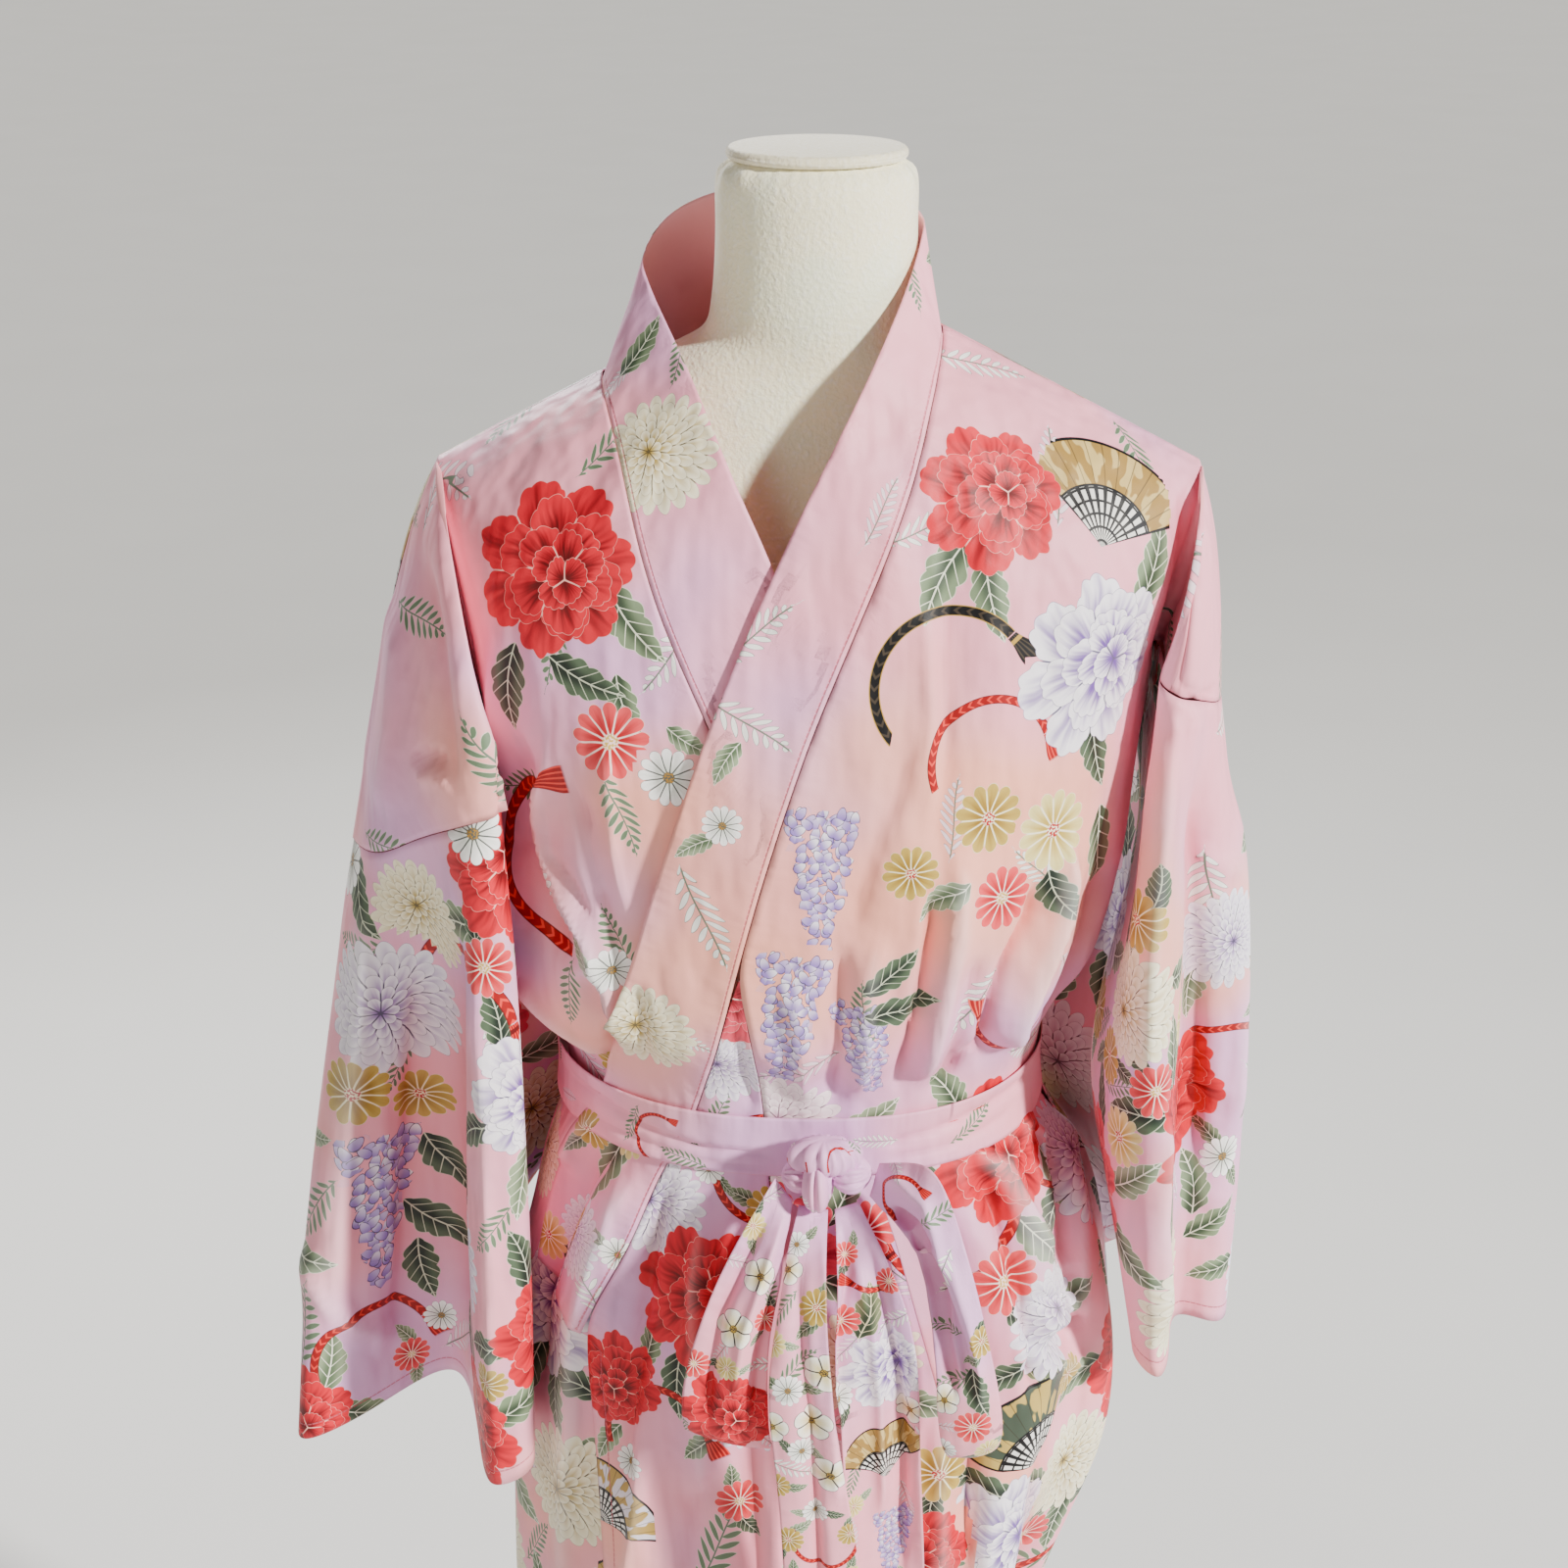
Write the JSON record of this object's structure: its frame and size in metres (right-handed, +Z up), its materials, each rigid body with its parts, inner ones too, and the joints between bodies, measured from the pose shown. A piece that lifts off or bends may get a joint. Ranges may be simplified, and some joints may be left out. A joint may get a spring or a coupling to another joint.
{
  "type": "kimono robe on a limbless dress form with a stand",
  "caption": "Light wrapped kimono robe with wide short sleeves, a collar band and a narrow sash tied in a bow, worn on a limbless dress form on a round-based stand.",
  "frame": {"origin": "centre of the stand base's underside, on the floor", "axes": "+Z up, -Y is the robe's front, +X is the wearer's left"},
  "size_m": [0.5466, 0.3505, 1.506],
  "materials": {
    "robe_satin": "smooth polyester satin with a soft sheen, printed all over with flowers",
    "sash_satin": "the same printed satin, seen where its print is pinker",
    "form_velour": "matt cream velour over a hard shell",
    "form_cap": "matt cream cloth over a flat disc",
    "stand_metal": "pale grey powder coat"
  },
  "bodies": {
    "root": {"back": "robe_satin", "front_left": "robe_satin", "front_right": "robe_satin", "overlap_left": "robe_satin", "overlap_right": "robe_satin", "collar": "robe_satin", "sleeve_left": "robe_satin", "sleeve_right": "robe_satin", "belt_waist": "sash_satin", "bow_loop_right": "sash_satin", "bow_loop_left": "sash_satin", "belt_tail_right": "sash_satin", "belt_tail_left": "sash_satin", "belt_knot": "sash_satin", "form_body": "form_velour", "neck_cap": "form_cap", "stand_base": "stand_metal", "stand_pole": "stand_metal"}
  },
  "joints": []
}
